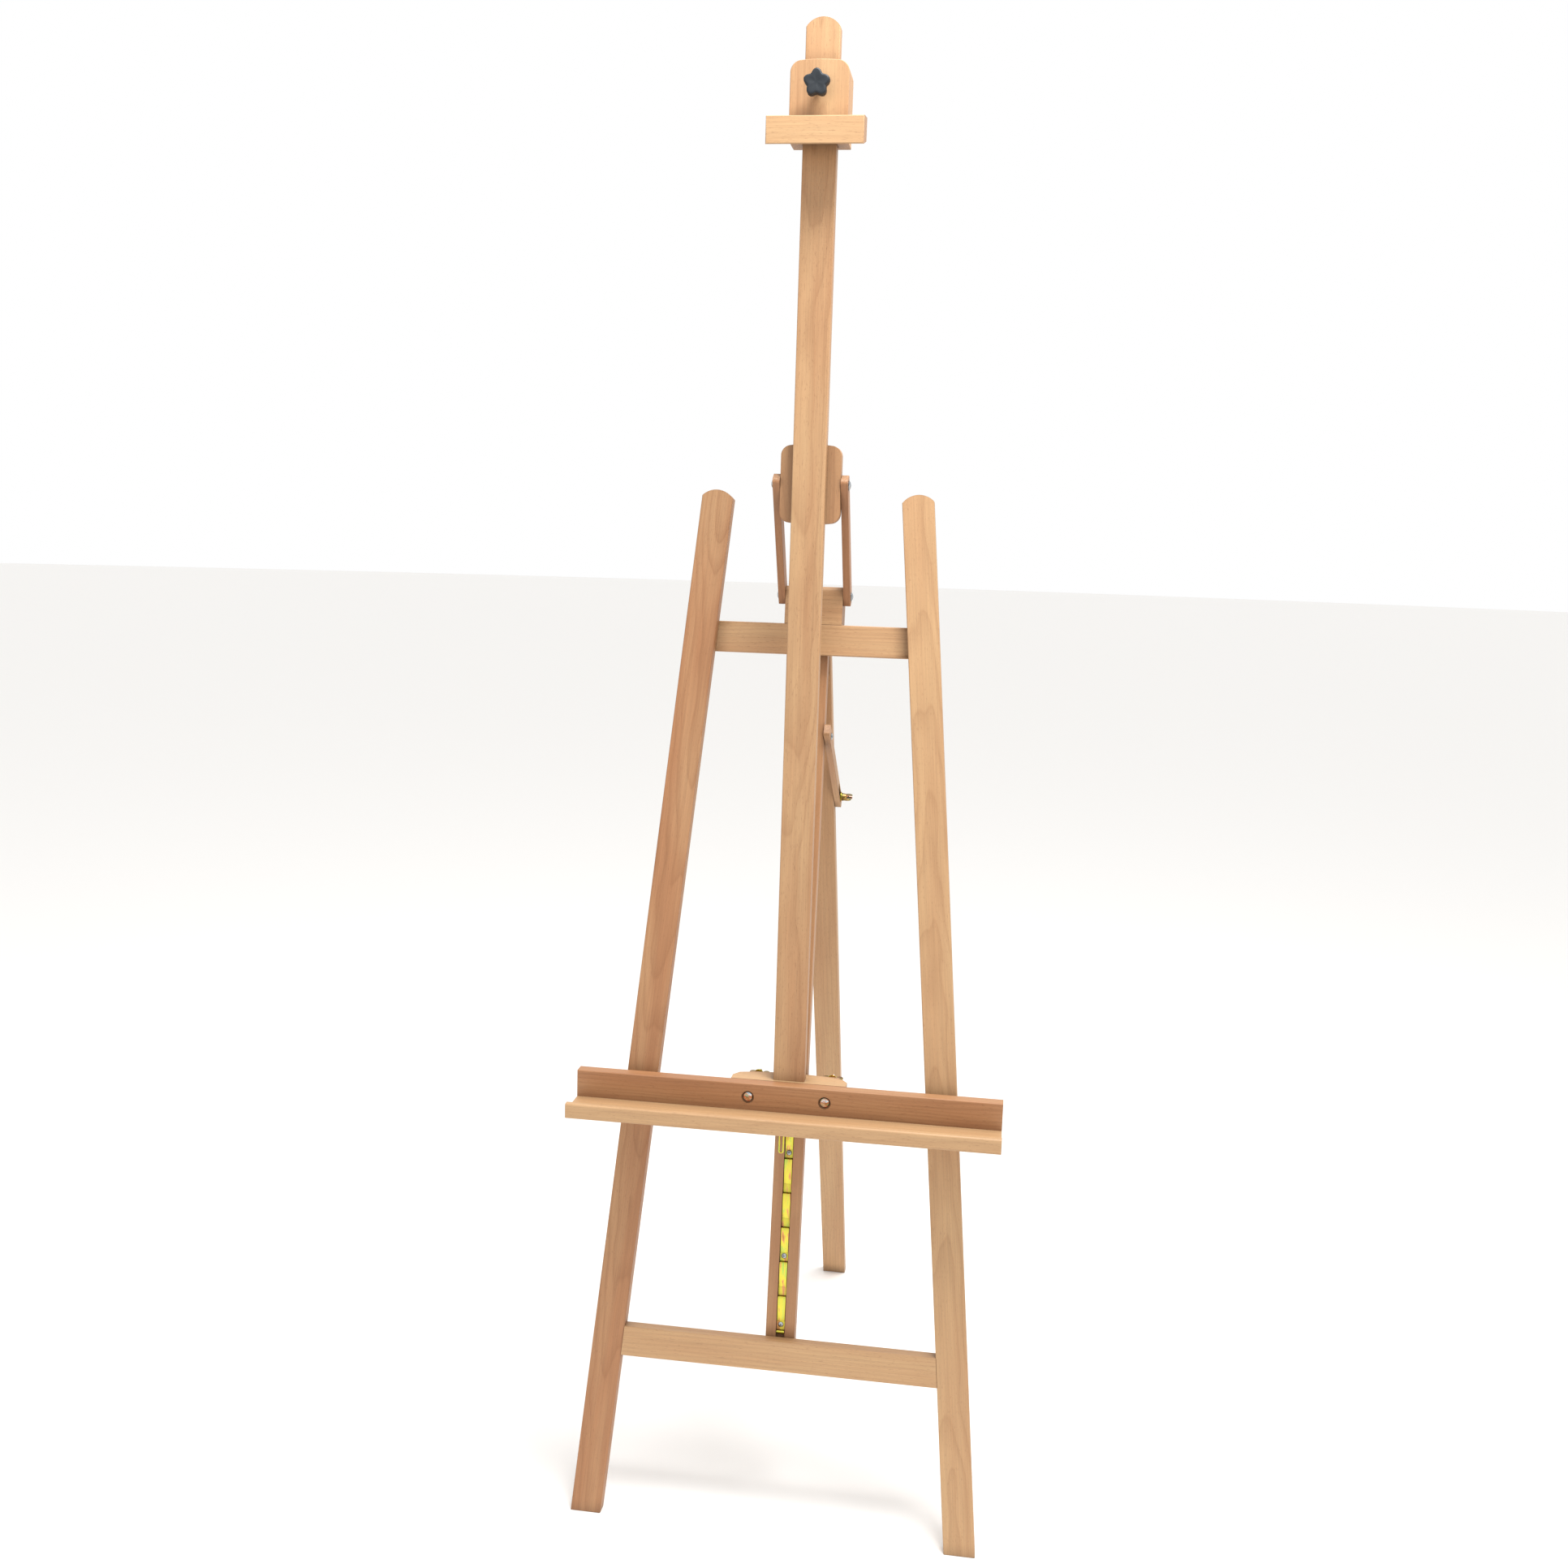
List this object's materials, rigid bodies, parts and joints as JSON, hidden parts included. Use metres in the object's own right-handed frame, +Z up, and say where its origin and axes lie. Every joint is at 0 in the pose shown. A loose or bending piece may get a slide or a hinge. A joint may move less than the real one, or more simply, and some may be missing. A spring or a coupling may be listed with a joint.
{
  "type": "h frame easel",
  "caption": "Wooden studio easel with an H-shaped leaning frame, folding rear leg, ratchet tray carriage, upright mast held by two swinging arms, and a sliding top canvas clamp.",
  "frame": {"origin": "middle of the easel's footprint on the floor, between the two front legs and midway from the tray's front to the rear foot's back", "axes": "+X to the right as seen from the front, +Y to the back, +Z up"},
  "size_m": [0.61, 0.8974, 2.1064],
  "materials": {
    "beech": "oiled",
    "yellow_zinc": "yellow zinc plated",
    "bright_zinc": "bright zinc plated",
    "knob_plastic": "fine matt"
  },
  "bodies": {
    "frame": {"leg_left": "beech", "leg_right": "beech", "lower_crossbar": "beech", "upper_crossbar": "beech", "upper_crossbar_screws": "bright_zinc", "rail": "beech", "ratchet_strip": "yellow_zinc", "strip_screws": "bright_zinc", "head_block": "beech", "hinge_fixed_leaf": "bright_zinc", "hinge_pin": "bright_zinc", "stay_screw": "bright_zinc", "arm_foot_bolt_left": "bright_zinc", "arm_foot_bolt_right": "bright_zinc"},
    "rear_leg": {"rear_leg": "beech", "hinge_moving_leaf": "bright_zinc", "stay_bolt": "yellow_zinc", "stay_washer": "yellow_zinc"},
    "stay": {"stay": "beech"},
    "stay_wing_nut": {"stay_wing_nut": "yellow_zinc"},
    "carriage": {"tray_board": "beech", "tray_ledge": "beech", "mast_shelf": "beech", "mast_screws": "bright_zinc", "cheek_left": "beech", "cheek_right": "beech", "rub_block": "beech", "rear_clamp": "beech", "tray_bolt_left": "yellow_zinc", "tray_bolt_right": "yellow_zinc", "tray_washer_left": "yellow_zinc", "tray_washer_right": "yellow_zinc", "pawl_pin": "bright_zinc", "mast": "beech"},
    "tray_wing_nut_left": {"tray_wing_nut_left": "yellow_zinc"},
    "tray_wing_nut_right": {"tray_wing_nut_right": "yellow_zinc"},
    "latch": {"pawl": "bright_zinc", "release_loop": "yellow_zinc"},
    "paddle": {"paddle": "beech", "paddle_runner": "beech", "arm_head_bolt_left": "bright_zinc", "arm_head_bolt_right": "bright_zinc"},
    "paddle_knob": {"paddle_knob": "knob_plastic", "paddle_screw": "bright_zinc"},
    "arm_left": {"arm_left": "beech"},
    "arm_right": {"arm_right": "beech"},
    "top_clamp": {"clamp_front_plate": "beech", "clamp_rear_plate": "beech", "clamp_spacer_left": "beech", "clamp_spacer_right": "beech", "canvas_holder": "beech", "clamp_insert": "yellow_zinc"},
    "clamp_knob": {"clamp_knob": "knob_plastic", "clamp_screw": "bright_zinc"}
  },
  "joints": [
    {"name": "rear_leg_fold", "type": "hinge", "parent": "frame", "child": "rear_leg", "pos_m": [0, -0.22049, 1.28019], "axis": [1, 0, 0], "range_deg": [-18, 0]},
    {"name": "stay_swing", "type": "hinge", "parent": "frame", "child": "stay", "pos_m": [0, -0.25022, 1.15785], "axis": [1, 0, 0], "range_deg": [-25, 0]},
    {"name": "stay_nut_spin", "type": "hinge", "parent": "rear_leg", "child": "stay_wing_nut", "pos_m": [0, -0.08599, 1.04335], "axis": [1, 0, 0], "continuous": true},
    {"name": "tray_height", "type": "slide", "parent": "frame", "child": "carriage", "axis": [0, 0.1187, 0.9929], "range_m": [-0.255, 0.051]},
    {"name": "tray_nut_left_spin", "type": "hinge", "parent": "carriage", "child": "tray_wing_nut_left", "pos_m": [-0.055, -0.27569, 0.652], "axis": [0, 1, 0], "continuous": true},
    {"name": "tray_nut_right_spin", "type": "hinge", "parent": "carriage", "child": "tray_wing_nut_right", "pos_m": [0.055, -0.27569, 0.652], "axis": [0, 1, 0], "continuous": true},
    {"name": "latch_drop", "type": "hinge", "parent": "carriage", "child": "latch", "pos_m": [0, -0.34224, 0.59892], "axis": [1, 0, 0], "range_deg": [-45, 0], "stiffness_Nm_per_rad": 0.1, "springref_deg": 8.59},
    {"name": "paddle_slide", "type": "slide", "parent": "carriage", "child": "paddle", "axis": [0, 0, 1], "range_m": [-0.047, 0.233]},
    {"name": "paddle_knob_spin", "type": "hinge", "parent": "paddle", "child": "paddle_knob", "pos_m": [0, -0.30569, 1.513], "axis": [0, 1, 0], "continuous": true},
    {"name": "arm_left_swing", "type": "hinge", "parent": "frame", "child": "arm_left", "pos_m": [-0.0468, -0.24569, 1.36], "axis": [1, 0, 0], "range_deg": [-2.5, 12]},
    {"name": "arm_right_swing", "type": "hinge", "parent": "frame", "child": "arm_right", "pos_m": [0.0468, -0.24569, 1.36], "axis": [1, 0, 0], "range_deg": [-2.5, 12]},
    {"name": "top_clamp_slide", "type": "slide", "parent": "carriage", "child": "top_clamp", "axis": [0, 0, 1], "range_m": [-0.13, 0.045]},
    {"name": "clamp_knob_spin", "type": "hinge", "parent": "top_clamp", "child": "clamp_knob", "pos_m": [0, -0.40569, 2.012], "axis": [0, 1, 0], "continuous": true}
  ],
  "couplings": [
    {"joint": "stay_swing", "follows": "rear_leg_fold", "ratio": 1.35},
    {"joint": "paddle_slide", "follows": "tray_height", "ratio": -0.91195},
    {"joint": "arm_left_swing", "follows": "tray_height", "rad_per_m": -0.8162},
    {"joint": "arm_right_swing", "follows": "tray_height", "rad_per_m": -0.8162}
  ]
}
